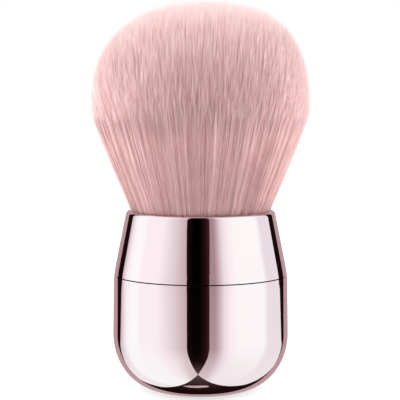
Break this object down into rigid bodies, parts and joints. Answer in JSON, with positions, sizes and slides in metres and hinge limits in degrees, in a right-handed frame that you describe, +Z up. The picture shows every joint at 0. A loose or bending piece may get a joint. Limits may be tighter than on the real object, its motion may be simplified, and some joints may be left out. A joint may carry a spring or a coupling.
{
  "type": "nail dust brush",
  "caption": "Domed nail dust brush: a soft flared tuft in a polished tapered collar that unscrews from a rounded, weighted standing base, for sweeping filing dust off nails.",
  "frame": {"origin": "centre of the flat face under the base, on which the brush stands", "axes": "+Z up along the handle's axis towards the tuft; the side that faces the viewer in the picture is -Y"},
  "size_m": [0.0504, 0.0508, 0.09],
  "materials": {
    "rose_gold_shell": "polished",
    "iron_weight": "matte",
    "pad_foam": "matte",
    "charcoal_plastic": "satin",
    "seal_silicone": "satin",
    "cup_aluminium": "satin",
    "bristle": "matte"
  },
  "bodies": {
    "base": {"base_shell": "rose_gold_shell", "counterweight": "iron_weight", "weight_pad": "pad_foam", "base_insert": "charcoal_plastic"},
    "seal": {"seal_ring": "seal_silicone"},
    "head": {"collar_shell": "rose_gold_shell", "collar_core": "charcoal_plastic", "bristle_cup": "cup_aluminium", "bristle_tuft": "bristle"}
  },
  "joints": [
    {"name": "head_lift", "type": "slide", "parent": "base", "child": "seal", "axis": [0, 0, 1], "range_m": [0, 0.00375]},
    {"name": "head_turn", "type": "hinge", "parent": "seal", "child": "head", "pos_m": [0, 0, 0.02685], "axis": [0, 0, 1], "range_deg": [0, 450]}
  ],
  "couplings": [
    {"joint": "head_lift", "follows": "head_turn", "m_per_rad": 0.00047746}
  ]
}
